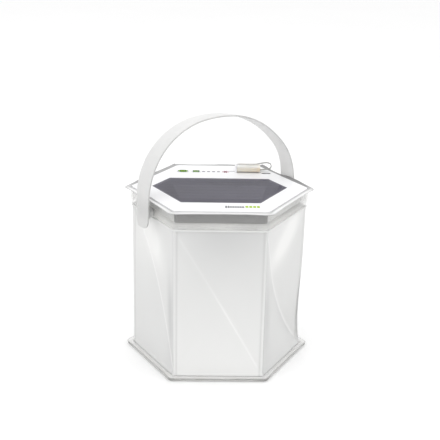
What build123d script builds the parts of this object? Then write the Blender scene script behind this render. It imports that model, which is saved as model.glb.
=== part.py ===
"""Collapsible hexagonal solar lantern, in millimetres, +Z up, origin at the centre of its underside."""

import os
from math import atan2, cos, degrees, radians, sin, sqrt

from build123d import *

os.makedirs("parts", exist_ok=True)

# Driving dimensions
wall_radius = 85.0  # corner radius of the hexagonal film wall
film = 0.8  # welded film, doubled at the hems
bottom_radius = 92.0  # corner radius of the base flange
tray_radius = 87.0  # corner radius of the collar under the rim
tray_height = 17.4
rim_radius = 90.2  # corner radius of the moulded rim
rim_film_radius = 91.4  # corner radius of the clear film round the rim
plate_radius = 86.0  # corner radius of the printed top plate
plate_thickness = 1.6
panel_radius = 65.5  # corner radius of the solar panel
panel_back_edge = 28.0  # the panel is cut straight here to leave the control strip
panel_front_edge = -50.0  # and here to leave the printed front margin
strip_y = 51.4  # centre line of the control strip
led_pitch = 5.08

handle_angle = 30.0  # direction of the handle's pivot axis about +Z
handle_lean = 7.0  # the strap stands this far back from upright
strap_width = 24.0
strap_thickness = 1.6
strap_half_span = 82.7
strap_rise = 85.0

running_clearance = 0.06  # radial, pin in strap
gap = 0.4  # between a moving piece and its surroundings

# Heights, from the ground up
bottom_film_top = 1.0
hem_step = 1.4  # the hem stands this far above the floor film outside its weld
hem_top = bottom_film_top + hem_step + film
base_plate_top = 3.0
wall_bottom = hem_top + 0.2
wall_height = wall_radius * sqrt(3)  # the height at which the twist-fold closes flat in 120 degrees
wall_top = wall_bottom + wall_height
tray_bottom = wall_top + 0.2
tray_top = tray_bottom + tray_height
plate_top = tray_top + plate_thickness
chassis_bottom = tray_bottom + 5.8
chassis_floor_top = chassis_bottom + 1.4
chassis_top = tray_top - 2.4
led_board_bottom = chassis_bottom - 1.2
board_bottom = tray_top - 5.4
board_top = board_bottom + 1.2
pivot_z = tray_bottom + 4.8

flat = cos(radians(30))  # a hexagon's flat distance over its corner radius


def hexagon(radius, corner=0.0, mode=Mode.ADD):
    """A hexagon in the open sketch, with corners at 0, 60, ... degrees and rounded by corner."""
    with BuildSketch(mode=Mode.PRIVATE) as outline:
        RegularPolygon(radius, 6)
        if corner:
            fillet(outline.vertices(), corner)
    add(outline.sketch, mode=mode)


def clipped_hexagon(margin, mode=Mode.ADD):
    """The panel's outline in the open sketch, grown all round by margin."""
    with BuildSketch(mode=Mode.PRIVATE) as outline:
        RegularPolygon(panel_radius, 6)
        with Locations((0, (panel_back_edge + panel_front_edge) / 2)):
            Rectangle(3 * panel_radius, panel_back_edge - panel_front_edge, mode=Mode.INTERSECT)
        if margin:
            offset(amount=margin, kind=Kind.INTERSECTION)
    add(outline.sketch, mode=mode)


def hexagonal_ring(bottom, height, outer, inner, corner=0.0, inner_corner=0.0):
    """A flat hexagonal ring standing on the height bottom."""
    with BuildPart() as ring:
        with BuildSketch(Plane.XY.offset(bottom)):
            hexagon(outer, corner)
            hexagon(inner, inner_corner, mode=Mode.SUBTRACT)
        extrude(amount=height)
    return ring


def wire_pair(points, spacing, radius, bend, direction):
    """Two round wires side by side along one bent route, set apart by spacing along direction."""
    with BuildPart() as pair:
        for side in (-0.5, 0.5):
            shift = Vector(*direction) * (spacing * side)
            route = [Vector(*point) + shift for point in points]
            with BuildLine() as path:
                FilletPolyline(*route, radius=bend)
            with BuildSketch(path.line ^ 0):
                Circle(radius)
            sweep(path=path.line)
    return pair


# Base: a film floor, the wall's hem welded to it, and a stiffener that keeps the hexagon flat

with BuildPart() as bottom_film:
    with BuildSketch():
        hexagon(bottom_radius, 4.0)
    extrude(amount=bottom_film_top)
bottom_film.part.label = "bottom_film"
export_step(bottom_film.part, "parts/bottom_film.step")

wall_inner_radius = wall_radius - film / flat
with BuildPart() as lower_hem:
    with BuildSketch(Plane.XY.offset(bottom_film_top + hem_step)):
        hexagon(bottom_radius - 0.8, 3.6)
        hexagon(wall_inner_radius, 1.0, mode=Mode.SUBTRACT)
    extrude(amount=film)
    with BuildSketch(Plane.XY.offset(bottom_film_top)):
        hexagon(bottom_radius - 3.4, 3.0)
        hexagon(wall_inner_radius, 1.0, mode=Mode.SUBTRACT)
    extrude(amount=hem_step)
lower_hem.part.label = "lower_hem"
export_step(lower_hem.part, "parts/lower_hem.step")

with BuildPart() as base_plate:
    with BuildSketch(Plane.XY.offset(bottom_film_top)):
        hexagon(wall_inner_radius - 1.4, 3.0)
    extrude(amount=base_plate_top - bottom_film_top)
    chamfer(base_plate.faces().sort_by(Axis.Z)[-1].edges(), 0.5)
base_plate.part.label = "base_plate"
export_step(base_plate.part, "parts/base_plate.step")

# Wall: the film tube that folds down in a twist

lantern_wall = hexagonal_ring(wall_bottom, wall_height, wall_radius, wall_inner_radius, 1.6, 1.0)
lantern_wall.part.label = "lantern_wall"
export_step(lantern_wall.part, "parts/lantern_wall.step")

# Handle planes: the arch lies in handle_plane, and pin_plane looks along the pivot axis

axis_along = Vector(cos(radians(handle_angle)), sin(radians(handle_angle)), 0)
axis_across = Vector(-sin(radians(handle_angle)), cos(radians(handle_angle)), 0)
pivot_centre = Vector(0, 0, pivot_z)
arch_up = Vector(0, 0, 1) * cos(radians(handle_lean)) + axis_across * sin(radians(handle_lean))
handle_plane = Plane(origin=pivot_centre, x_dir=axis_along, z_dir=axis_along.cross(arch_up))
pin_plane = Plane(origin=pivot_centre, x_dir=arch_up.cross(axis_along), z_dir=axis_along)
pin_radius = 2.0
shank_radius = 2.5
stud_sides = (1, -1)


def pin_segment(radius, start, end, side, mode=Mode.ADD):
    """A cylinder about the pivot axis between two distances from the lantern's centre, on one side."""
    with Locations(pin_plane.offset(side * (start + end) / 2)):
        Cylinder(radius, end - start, mode=mode)


# Tray: the translucent collar, its rim and its floor with an opening for the light

tray_wall = 1.6
tray_flat = tray_radius * flat
tray_inner_radius = tray_radius - tray_wall / flat
tray_floor = 1.4
ledge_height = 2.4
ledge_inner_radius = 83.0
seal_outer = 85.8
seal_inner = 84.2
seal_depth = 1.0

with BuildPart() as tray:
    with BuildSketch(Plane.XY.offset(tray_bottom)):
        hexagon(tray_radius, 4.0)
    extrude(amount=tray_height)
    fillet(tray.faces().sort_by(Axis.Z)[0].edges(), 2.0)
    with BuildSketch(Plane.XY.offset(tray_top - 1.0)):
        hexagon(rim_radius, 5.0)
    extrude(amount=1.0)
    with BuildSketch(Plane.XY.offset(tray_bottom + tray_floor)):
        hexagon(tray_inner_radius, 2.4)
    extrude(amount=tray_height - tray_floor - ledge_height, mode=Mode.SUBTRACT)
    with BuildSketch(Plane.XY.offset(tray_top - ledge_height)):
        hexagon(ledge_inner_radius, 2.0)
    extrude(amount=ledge_height, mode=Mode.SUBTRACT)
    with BuildSketch(Plane.XY.offset(tray_bottom)):
        hexagon(48.0, 4.0)
    extrude(amount=tray_floor, mode=Mode.SUBTRACT)
    with BuildSketch(Plane.XY.offset(tray_top - seal_depth)):
        hexagon(seal_outer, 3.0)
        hexagon(seal_inner, 2.0, mode=Mode.SUBTRACT)
    extrude(amount=seal_depth, mode=Mode.SUBTRACT)
    for side in stud_sides:
        pin_segment(shank_radius, tray_flat - 6.0, tray_flat + 1.0, side, mode=Mode.SUBTRACT)
tray.part.label = "tray"
export_step(tray.part, "parts/tray.step")

rim_seal = hexagonal_ring(tray_top - seal_depth, seal_depth, seal_outer, seal_inner, 3.0, 2.0)
rim_seal.part.label = "rim_seal"
export_step(rim_seal.part, "parts/rim_seal.step")

rim_film = hexagonal_ring(tray_top, film, rim_film_radius, plate_radius + 0.5, 5.5, 4.0)
rim_film.part.label = "rim_film"
export_step(rim_film.part, "parts/rim_film.step")

# Top plate: a white printed plate with a pocket for the panel, screw bosses and control openings

pocket_depth = 1.2
pocket_floor = plate_top - pocket_depth
power_x = -36.8
battery_x = -23.1
led_xs = [-15.6 + led_pitch * k for k in range(4)]
indicator_x = 6.8
power_button_radius = 5.8
battery_button_radius = 4.6
light_pipe_radius = 1.25
indicator_radius = 2.0
boss_points = [(73.0, 0), (63.0, 30), (63.0, 150), (73.0, 180), (73.0, 240), (73.0, 300)]
boss_radius = 3.2
boss_xy = [(r * cos(radians(a)), r * sin(radians(a))) for r, a in boss_points]
screw_radius = 1.1
loop_slot_xy = (48.2, 47.8)  # the recess that the cap's pull loop is lifted from
loop_slot_depth = 1.0
panel_lead_y = 24.0
panel_lead_spacing = 6.0

with BuildPart() as top_plate:
    with BuildSketch(Plane.XY.offset(tray_top)):
        hexagon(plate_radius, 4.0)
    extrude(amount=plate_thickness)
    fillet(top_plate.faces().sort_by(Axis.Z)[-1].edges(), 0.5)
    with BuildSketch(Plane.XY.offset(pocket_floor)):
        clipped_hexagon(0.3)
    extrude(amount=pocket_depth, mode=Mode.SUBTRACT)
    with BuildSketch(Plane.XY.offset(chassis_floor_top + 0.2)):
        with Locations(*boss_xy):
            Circle(boss_radius)
    extrude(until=Until.NEXT)
    with BuildSketch(Plane.XY.offset(chassis_floor_top)):
        with Locations(*boss_xy):
            Circle(screw_radius)
    extrude(amount=9.0, mode=Mode.SUBTRACT)
    with BuildSketch(Plane.XY.offset(tray_top)):
        with Locations((power_x, strip_y)):
            Circle(power_button_radius + gap)
        with Locations((battery_x, strip_y)):
            Circle(battery_button_radius + gap)
        with Locations(*[(x, strip_y) for x in led_xs]):
            Circle(light_pipe_radius + 0.1)
        with Locations((indicator_x, strip_y)):
            Circle(indicator_radius + 0.1)
    extrude(amount=plate_thickness, mode=Mode.SUBTRACT)
    with BuildSketch(Plane.XY.offset(tray_top)):
        with Locations((0, panel_lead_y)):
            SlotOverall(panel_lead_spacing + 3.0, 2.4)
    extrude(amount=plate_thickness, mode=Mode.SUBTRACT)
    with BuildSketch(Plane.XY.offset(plate_top)):
        with Locations(loop_slot_xy):
            SlotOverall(9.6, 2.8)
    extrude(amount=-loop_slot_depth, mode=Mode.SUBTRACT)
top_plate.part.label = "top_plate"
export_step(top_plate.part, "parts/top_plate.step")

# Solar panel: back sheet, cells in strips, clear cover

substrate_top = pocket_floor + 0.5
cells_top = substrate_top + 0.25
cell_border = 3.0
cell_gap = 0.35
cell_rows = 8

with BuildPart() as solar_substrate:
    with BuildSketch(Plane.XY.offset(pocket_floor)):
        clipped_hexagon(0.0)
    extrude(amount=substrate_top - pocket_floor)
solar_substrate.part.label = "solar_substrate"
export_step(solar_substrate.part, "parts/solar_substrate.step")

row_pitch = (panel_back_edge - panel_front_edge - 2 * cell_border + cell_gap) / cell_rows
with BuildPart() as solar_cells:
    with BuildSketch(Plane.XY.offset(substrate_top)):
        clipped_hexagon(-cell_border)
        for row in range(1, cell_rows):
            edge = panel_front_edge + cell_border + row * row_pitch - cell_gap / 2
            with Locations((0, edge)):
                Rectangle(3 * panel_radius, cell_gap, mode=Mode.SUBTRACT)
    extrude(amount=cells_top - substrate_top)
solar_cells.part.label = "solar_cells"
export_step(solar_cells.part, "parts/solar_cells.step")

with BuildPart() as panel_cover:
    with BuildSketch(Plane.XY.offset(cells_top)):
        clipped_hexagon(0.0)
    extrude(amount=plate_top - cells_top)
    chamfer(panel_cover.faces().sort_by(Axis.Z)[-1].edges(), 0.2)
panel_cover.part.label = "panel_cover"
export_step(panel_cover.part, "parts/panel_cover.step")

# Buttons: a disc proud of the plate with a retaining collar under it

button_proud = 0.35
button_collar_bottom = tray_top - 1.4
button_collar = 0.9


def button(x, radius):
    """A round push button at x on the control strip."""
    with BuildPart() as cap:
        with BuildSketch(Plane.XY.offset(button_collar_bottom)):
            with Locations((x, strip_y)):
                Circle(radius + 1.0)
        extrude(amount=button_collar)
        with BuildSketch(Plane.XY.offset(button_collar_bottom)):
            with Locations((x, strip_y)):
                Circle(radius)
        extrude(amount=plate_top + button_proud - button_collar_bottom)
        fillet(cap.faces().sort_by(Axis.Z)[-1].edges(), 0.3)
    return cap


power_button = button(power_x, power_button_radius)
power_button.part.label = "power_button"
export_step(power_button.part, "parts/power_button.step")

battery_button = button(battery_x, battery_button_radius)
battery_button.part.label = "battery_button"
export_step(battery_button.part, "parts/battery_button.step")

# Indicators: light pipes from the board's lamps up through the plate

pipe_bottom = board_top + 1.3

with BuildPart() as battery_leds:
    with BuildSketch(Plane.XY.offset(pipe_bottom)):
        with Locations(*[(x, strip_y) for x in led_xs]):
            Circle(light_pipe_radius)
    extrude(amount=plate_top - pipe_bottom)
battery_leds.part.label = "battery_leds"
export_step(battery_leds.part, "parts/battery_leds.step")

with BuildPart() as charge_indicator:
    with BuildSketch(Plane.XY.offset(pipe_bottom)):
        with Locations((indicator_x, strip_y)):
            Circle(indicator_radius)
    extrude(amount=plate_top - pipe_bottom)
charge_indicator.part.label = "charge_indicator"
export_step(charge_indicator.part, "parts/charge_indicator.step")

# Chassis: the opaque inner tray, hung from the top plate's bosses by six screws

chassis_radius = 81.0
chassis_wall = 1.5
board_post_xy = [(-31.5, strip_y - 7), (16.0, strip_y + 1)]
led_lead_y = 17.0
led_lead_x = 11.0
led_lead_spacing = 4.0
led_screw_xy = [(21.5 * cos(radians(a)), 21.5 * sin(radians(a))) for a in (90, 210, 330)]
led_screw_radius = 0.95

with BuildPart() as chassis:
    with BuildSketch(Plane.XY.offset(chassis_bottom)):
        hexagon(chassis_radius, 3.0)
    extrude(amount=chassis_top - chassis_bottom)
    with BuildSketch(Plane.XY.offset(chassis_floor_top)):
        hexagon(chassis_radius - chassis_wall / flat, 1.6)
    extrude(amount=chassis_top, mode=Mode.SUBTRACT)
    with BuildSketch(Plane.XY.offset(chassis_floor_top)):
        with Locations(*board_post_xy):
            Circle(2.6)
    extrude(amount=board_bottom - chassis_floor_top)
    with BuildSketch(Plane.XY.offset(chassis_bottom)):
        with Locations(*boss_xy):
            Circle(screw_radius + 0.3)
        with Locations((led_lead_x, led_lead_y)):
            SlotOverall(led_lead_spacing + 3.4, 2.6)
        with Locations(*led_screw_xy):
            Circle(led_screw_radius + 0.02)
    extrude(amount=chassis_floor_top - chassis_bottom, mode=Mode.SUBTRACT)
    with BuildSketch(Plane.XY.offset(chassis_floor_top + 0.6)):
        with Locations(*board_post_xy):
            Circle(0.85)
    extrude(amount=board_bottom, mode=Mode.SUBTRACT)
chassis.part.label = "chassis"
export_step(chassis.part, "parts/chassis.step")


def screws(points, shank, length, head, head_height, seat_z, upward):
    """Pan-head screws at points, with their heads seated at seat_z and shanks pointing up or down."""
    way = 1 if upward else -1
    with BuildPart() as group:
        with BuildSketch(Plane.XY.offset(seat_z)):
            with Locations(*points):
                Circle(shank)
        extrude(amount=way * length)
        with BuildSketch(Plane.XY.offset(seat_z)):
            with Locations(*points):
                Circle(head)
        extrude(amount=-way * head_height)
        with BuildSketch(Plane.XY.offset(seat_z - way * head_height)):
            with Locations(*points):
                Rectangle(head * 1.1, head * 0.3)
                Rectangle(head * 0.3, head * 1.1)
        extrude(amount=way * head_height * 0.5, mode=Mode.SUBTRACT)
    return group


chassis_screws = screws(boss_xy, screw_radius - 0.05, 8.0, 2.3, 1.4, chassis_bottom, True)
chassis_screws.part.label = "chassis_screws"
export_step(chassis_screws.part, "parts/chassis_screws.step")

board_screws = screws(board_post_xy, 0.8, 4.0, 1.7, 1.1, board_top, False)
board_screws.part.label = "board_screws"
export_step(board_screws.part, "parts/board_screws.step")

# Battery: a flat lithium cell on foam tape

cell_length = 70.0
cell_width = 45.0
cell_height = 7.0
cell_y = -18.0
pad_thickness = 0.6
cell_bottom = chassis_floor_top + pad_thickness

with BuildPart() as battery_pad:
    with BuildSketch(Plane.XY.offset(chassis_floor_top)):
        with Locations((0, cell_y)):
            Rectangle(cell_length - 6, cell_width - 6)
    extrude(amount=pad_thickness)
battery_pad.part.label = "battery_pad"
export_step(battery_pad.part, "parts/battery_pad.step")

with BuildPart() as battery_cell:
    with BuildSketch(Plane.XY.offset(cell_bottom)):
        with Locations((0, cell_y)):
            RectangleRounded(cell_length, cell_width, 3.0)
    extrude(amount=cell_height)
    fillet(battery_cell.edges().group_by(Axis.Z)[-1] + battery_cell.edges().group_by(Axis.Z)[0], 1.2)
battery_cell.part.label = "battery_cell"
export_step(battery_cell.part, "parts/battery_cell.step")

# Main board: board, two tactile switches, five lamps

board_left = -46.0
board_right = 24.0
board_front = strip_y - 11.0
board_back = strip_y + 4.0

with BuildPart() as circuit_board:
    with BuildSketch(Plane.XY.offset(board_bottom)):
        with Locations(((board_left + board_right) / 2, (board_front + board_back) / 2)):
            Rectangle(board_right - board_left, board_back - board_front)
    extrude(amount=board_top - board_bottom)
    back_left = circuit_board.edges().filter_by(Axis.Z).sort_by(Axis.Y)[-2:].sort_by(Axis.X)[0]
    chamfer(back_left, 8.0)
    with BuildSketch(Plane.XY.offset(board_bottom)):
        with Locations(*board_post_xy):
            Circle(0.95)
    extrude(amount=board_top - board_bottom, mode=Mode.SUBTRACT)
circuit_board.part.label = "circuit_board"
export_step(circuit_board.part, "parts/circuit_board.step")

button_xs = (power_x, battery_x)
with BuildPart() as tact_switches:
    with BuildSketch(Plane.XY.offset(board_top)):
        with Locations(*[(x, strip_y) for x in button_xs]):
            Rectangle(4.5, 4.5)
    extrude(amount=1.4)
    with BuildSketch(Plane.XY.offset(board_top)):
        with Locations(*[(x, strip_y) for x in button_xs]):
            Circle(1.3)
    extrude(amount=2.0)
tact_switches.part.label = "tact_switches"
export_step(tact_switches.part, "parts/tact_switches.step")

with BuildPart() as board_leds:
    with BuildSketch(Plane.XY.offset(board_top)):
        with Locations(*[(x, strip_y) for x in led_xs + [indicator_x]]):
            Rectangle(2.0, 1.25)
    extrude(amount=0.8)
board_leds.part.label = "board_leds"
export_step(board_leds.part, "parts/board_leds.step")

# Light engine: aluminium board, twelve chips, frosted cup

led_board_radius = 25.0
led_ring_radius = 17.0
led_count = 12

with BuildPart() as led_board:
    with BuildSketch(Plane.XY.offset(led_board_bottom)):
        Circle(led_board_radius)
        with Locations(*led_screw_xy):
            Circle(led_screw_radius + 0.3, mode=Mode.SUBTRACT)
    extrude(amount=chassis_bottom - led_board_bottom)
led_board.part.label = "led_board"
export_step(led_board.part, "parts/led_board.step")

led_screws = screws(led_screw_xy, led_screw_radius, 2.6, 2.0, 1.2, led_board_bottom, True)
led_screws.part.label = "led_screws"
export_step(led_screws.part, "parts/led_screws.step")

with BuildPart() as led_chips:
    with BuildSketch(Plane.XY.offset(led_board_bottom)):
        with PolarLocations(led_ring_radius, led_count):
            Rectangle(2.8, 2.8)
    extrude(amount=-0.7)
led_chips.part.label = "led_chips"
export_step(led_chips.part, "parts/led_chips.step")

diffuser_radius = 29.0
diffuser_bottom = tray_bottom + 0.6
with BuildPart() as diffuser:
    with BuildSketch(Plane.XY.offset(diffuser_bottom)):
        Circle(diffuser_radius)
    extrude(amount=chassis_bottom - diffuser_bottom)
    fillet(diffuser.faces().sort_by(Axis.Z)[0].edges(), 2.4)
    with BuildSketch(Plane.XY.offset(diffuser_bottom + 1.2)):
        Circle(diffuser_radius - 1.4)
    extrude(amount=chassis_bottom, mode=Mode.SUBTRACT)
diffuser.part.label = "diffuser"
export_step(diffuser.part, "parts/diffuser.step")

# Leads inside the top unit

lead_radius = 0.6
cell_back = cell_y + cell_width / 2
battery_lead_z = cell_bottom + 5.0
battery_leads = wire_pair(
    [
        (-16.0, cell_back, battery_lead_z),
        (-16.0, cell_back + 16.0, battery_lead_z),
        (-12.0, board_front - 12.0, board_bottom - 0.6),
        (-12.0, board_front + 3.0, board_bottom - 0.6),
    ],
    3.0, lead_radius, 6.0, (1, 0, 0),
)
battery_leads.part.label = "battery_leads"
export_step(battery_leads.part, "parts/battery_leads.step")

panel_leads = wire_pair(
    [
        (0, panel_lead_y, pocket_floor),
        (0, panel_lead_y, pocket_floor - 3.2),
        (0, board_front + 2.0, board_top + 0.6),
    ],
    panel_lead_spacing, lead_radius, 1.8, (1, 0, 0),
)
panel_leads.part.label = "panel_leads"
export_step(panel_leads.part, "parts/panel_leads.step")

led_leads = wire_pair(
    [
        (led_lead_x, led_lead_y, chassis_bottom),
        (led_lead_x, led_lead_y, chassis_floor_top + 2.4),
        (led_lead_x, board_front + 3.0, chassis_floor_top + 2.4),
        (led_lead_x, board_front + 3.0, board_bottom),
    ],
    led_lead_spacing, lead_radius, 1.8, (1, 0, 0),
)
led_leads.part.label = "led_leads"
export_step(led_leads.part, "parts/led_leads.step")

# USB plug lying on the plate, and the rubber cap that slides off it towards +X

plug_y = 55.2
cap_left = 18.6
cap_length = 23.6
cap_width = 14.4
cap_height = 6.8
cap_bottom = plate_top + 0.3
plug_centre_z = cap_bottom + cap_height / 2
shell_width = 12.0
shell_height = 4.5
shell_wall = 0.35
shell_length = 18.8
mount_length = 1.6
shell_left = cap_left - 0.3


def plug_section(x):
    """The plane across the plug at x, facing +X, with its own X along +Y."""
    return Plane(origin=(x, plug_y, plug_centre_z), x_dir=(0, 1, 0), z_dir=(1, 0, 0))


with BuildPart() as usb_mount:
    with BuildSketch(plug_section(shell_left - mount_length)):
        Rectangle(cap_width - 1.0, cap_height)
    extrude(amount=mount_length)
    with BuildSketch(Plane.XY.offset(plate_top)):
        with Locations((shell_left - mount_length / 2, plug_y)):
            Rectangle(mount_length, cap_width - 1.0)
    extrude(amount=0.4)
    fillet(usb_mount.faces().sort_by(Axis.Z)[-1].edges(), 0.5)
usb_mount.part.label = "usb_mount"
export_step(usb_mount.part, "parts/usb_mount.step")

with BuildPart() as usb_plug_shell:
    with BuildSketch(plug_section(shell_left)):
        Rectangle(shell_width, shell_height)
        Rectangle(shell_width - 2 * shell_wall, shell_height - 2 * shell_wall, mode=Mode.SUBTRACT)
    extrude(amount=shell_length)
    with BuildSketch(Plane.XY.offset(plug_centre_z)):
        with Locations((shell_left + 12.0, plug_y - 2.9), (shell_left + 12.0, plug_y + 2.9)):
            Rectangle(2.0, 2.2)
    extrude(amount=shell_height, mode=Mode.SUBTRACT)
usb_plug_shell.part.label = "usb_plug_shell"
export_step(usb_plug_shell.part, "parts/usb_plug_shell.step")

tongue_height = 1.9
tongue_top = plug_centre_z - shell_height / 2 + shell_wall + tongue_height
with BuildPart() as usb_plug_tongue:
    with BuildSketch(plug_section(shell_left)):
        with Locations((0, -shell_height / 2 + shell_wall)):
            Rectangle(shell_width - 2 * shell_wall, tongue_height, align=(Align.CENTER, Align.MIN))
    extrude(amount=shell_length - 0.6)
usb_plug_tongue.part.label = "usb_plug_tongue"
export_step(usb_plug_tongue.part, "parts/usb_plug_tongue.step")

with BuildPart() as usb_contacts:
    with BuildSketch(Plane.XY.offset(tongue_top)):
        for contact_y in (-3.5, -1.0, 1.0, 3.5):
            with Locations((shell_left + shell_length - 6.0, plug_y + contact_y)):
                Rectangle(8.0, 1.1)
    extrude(amount=0.15)
usb_contacts.part.label = "usb_contacts"
export_step(usb_contacts.part, "parts/usb_contacts.step")

with BuildPart() as port_cap:
    with BuildSketch(plug_section(cap_left)):
        RectangleRounded(cap_width, cap_height, 1.8)
    extrude(amount=cap_length)
    fillet(port_cap.faces().sort_by(Axis.X)[-1].edges(), 1.2)
    with BuildSketch(plug_section(cap_left)):
        Rectangle(shell_width + 0.6, shell_height + 0.6)
    extrude(amount=shell_length + 0.8, mode=Mode.SUBTRACT)
port_cap.part.label = "port_cap"
export_step(port_cap.part, "parts/port_cap.step")

loop_radius = 0.9
cap_top = cap_bottom + cap_height
cap_right = cap_left + cap_length
with BuildPart() as cap_loop:
    with BuildLine(Plane.XZ.offset(-plug_y)) as loop_path:
        FilletPolyline(
            (cap_left + 2.0, cap_top),
            (cap_left + 4.5, cap_top + 2.6),
            (cap_right + 7.0, cap_top + 2.4),
            (cap_right + 11.5, cap_top - 1.4),
            (cap_right + 7.0, cap_bottom + 2.2),
            (cap_right, cap_bottom + 2.2),
            radius=2.4,
        )
    with BuildSketch(loop_path.line ^ 0):
        Circle(loop_radius)
    sweep(path=loop_path.line)
cap_loop.part.label = "cap_loop"
export_step(cap_loop.part, "parts/cap_loop.step")

# Handle: two studs through the tray, and the strap whose moulded end bosses snap over them

strap_inner = strap_half_span - strap_thickness / 2
strap_outer = strap_half_span + strap_thickness / 2
flange_end = tray_flat + 1.6
boss_start = flange_end + gap
end_boss_radius = 6.0
snap_radius = 2.8
snap_start = strap_inner - 1.0
snap_end = strap_inner + 0.1

with BuildPart() as pivot_studs:
    for side in stud_sides:
        pin_segment(3.2, tray_flat - tray_wall - 1.6, tray_flat - tray_wall - 0.02, side)
        pin_segment(shank_radius - 0.05, tray_flat - tray_wall - 0.02, tray_flat + 0.02, side)
        pin_segment(5.2, tray_flat + 0.02, flange_end, side)
        pin_segment(pin_radius, flange_end, snap_start, side)
        pin_segment(snap_radius, snap_start, snap_end, side)
pivot_studs.part.label = "pivot_studs"
export_step(pivot_studs.part, "parts/pivot_studs.step")

leg_end = 13.2
end_corner_radius = 6.0
end_corner_x = 4.0
crown_radius = 88.0
corner_radius = 75.0
corner_x = strap_half_span - corner_radius
crown_y = strap_rise - crown_radius
corner_y = crown_y + sqrt((crown_radius - corner_radius) ** 2 - corner_x**2)
corner_turn = degrees(atan2(corner_y - crown_y, corner_x))


def strap_face(grow):
    """One face of the strap's arch: a leg, a corner, the crown, a corner and a leg, all tangent."""
    edge = strap_half_span + grow
    Line((edge, -leg_end), (edge, corner_y))
    CenterArc((corner_x, corner_y), corner_radius + grow, 0, corner_turn)
    CenterArc((0, crown_y), crown_radius + grow, corner_turn, 180 - 2 * corner_turn)
    CenterArc((-corner_x, corner_y), corner_radius + grow, 180 - corner_turn, corner_turn)
    Line((-edge, corner_y), (-edge, -leg_end))


with BuildPart() as handle_strap:
    with BuildSketch(handle_plane.offset(-strap_width / 2)):
        with BuildLine():
            strap_face(strap_thickness / 2)
            strap_face(-strap_thickness / 2)
            for way in (1, -1):
                Line((way * strap_outer, -leg_end), (way * strap_inner, -leg_end))
        make_face()
    extrude(amount=strap_width)
    with BuildSketch(pin_plane.offset(-2 * strap_half_span)):
        end_corner_y = end_corner_radius - leg_end
        with Locations((-end_corner_x, end_corner_y), (end_corner_x, end_corner_y)):
            Circle(end_corner_radius)
        with Locations((0, corner_y + strap_rise)):
            Rectangle(strap_width, 2 * strap_rise)
        make_hull()
    extrude(amount=4 * strap_half_span, mode=Mode.INTERSECT)
    for side in stud_sides:
        pin_segment(end_boss_radius, boss_start, strap_inner + 0.2, side)
        pin_segment(pin_radius + running_clearance, boss_start - 1, snap_start, side, mode=Mode.SUBTRACT)
        pin_segment(snap_radius + 0.15, snap_start - 0.15, snap_end + 0.2, side, mode=Mode.SUBTRACT)
handle_strap.part.label = "handle_strap"
export_step(handle_strap.part, "parts/handle_strap.step")
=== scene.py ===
import math

import bpy
import numpy as np
from mathutils import Matrix, Vector


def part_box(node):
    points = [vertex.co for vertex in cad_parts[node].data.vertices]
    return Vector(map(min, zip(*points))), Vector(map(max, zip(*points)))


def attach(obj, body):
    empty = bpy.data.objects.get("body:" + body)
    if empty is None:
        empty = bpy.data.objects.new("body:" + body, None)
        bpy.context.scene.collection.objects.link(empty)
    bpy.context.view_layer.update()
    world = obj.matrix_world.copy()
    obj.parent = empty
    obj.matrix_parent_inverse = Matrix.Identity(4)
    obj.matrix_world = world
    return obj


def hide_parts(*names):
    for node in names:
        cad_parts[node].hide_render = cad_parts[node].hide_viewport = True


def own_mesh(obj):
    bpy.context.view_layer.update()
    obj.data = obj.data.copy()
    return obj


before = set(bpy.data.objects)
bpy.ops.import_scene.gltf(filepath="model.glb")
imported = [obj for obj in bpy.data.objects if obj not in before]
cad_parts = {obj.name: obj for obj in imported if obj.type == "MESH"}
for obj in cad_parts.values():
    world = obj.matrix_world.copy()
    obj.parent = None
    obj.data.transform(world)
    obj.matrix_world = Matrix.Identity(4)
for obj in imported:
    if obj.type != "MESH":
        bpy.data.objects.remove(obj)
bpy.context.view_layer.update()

MM = 0.001
SQRT3 = math.sqrt(3.0)
FLAT = SQRT3 / 2

# ---------------------------------------------------------------- heights and radii, from the frame
wall_low, wall_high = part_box("lantern_wall")
film_low, film_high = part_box("bottom_film")
rim_low, rim_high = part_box("rim_film")
WALL_R = 0.085
WALL_BOTTOM = wall_low.z
WALL_TOP = wall_high.z
WALL_H = WALL_TOP - WALL_BOTTOM
PLATE_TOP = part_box("top_plate")[1].z
TRAY_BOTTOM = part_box("tray")[0].z
HEM_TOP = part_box("lower_hem")[1].z
PIVOT_Z = TRAY_BOTTOM + 4.8 * MM
STRIP_Y = 0.0514

# ---------------------------------------------------------------- camera
FOCAL_PX = 926.5
CAMERA_DISTANCE = 0.9131
CAMERA_ELEVATION = math.radians(19.27)
CAMERA_ROLL = math.radians(1.23)
OBJECT_YAW = math.radians(1.5)
target = Vector((0.91 * MM, 0.0, 135.4 * MM))
back = Vector((0.0, -math.cos(CAMERA_ELEVATION), math.sin(CAMERA_ELEVATION)))
flat_right = Vector((1.0, 0.0, 0.0))
flat_up = flat_right.cross(-back)
cam_right = flat_right * math.cos(CAMERA_ROLL) + flat_up * math.sin(CAMERA_ROLL)
cam_up = flat_up * math.cos(CAMERA_ROLL) - flat_right * math.sin(CAMERA_ROLL)
turn = Matrix.Rotation(-OBJECT_YAW, 4, "Z")
view = Matrix((cam_right, cam_up, back)).transposed().to_4x4()
view.translation = target + back * CAMERA_DISTANCE
camera_data = bpy.data.cameras.new("camera")
camera_data.sensor_width = 36.0
camera_data.lens = FOCAL_PX / 440 * 36.0
camera_data.clip_start = 0.01
camera_data.clip_end = 50.0
camera = bpy.data.objects.new("camera", camera_data)
bpy.context.scene.collection.objects.link(camera)
camera.matrix_world = turn @ view
bpy.context.scene.camera = camera
bpy.context.scene.view_settings.view_transform = "Standard"

# ---------------------------------------------------------------- materials


def new_material(name):
    material = bpy.data.materials.new(name)
    material.use_nodes = True
    nodes = material.node_tree.nodes
    return material, nodes, material.node_tree.links, nodes["Principled BSDF"]


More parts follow.
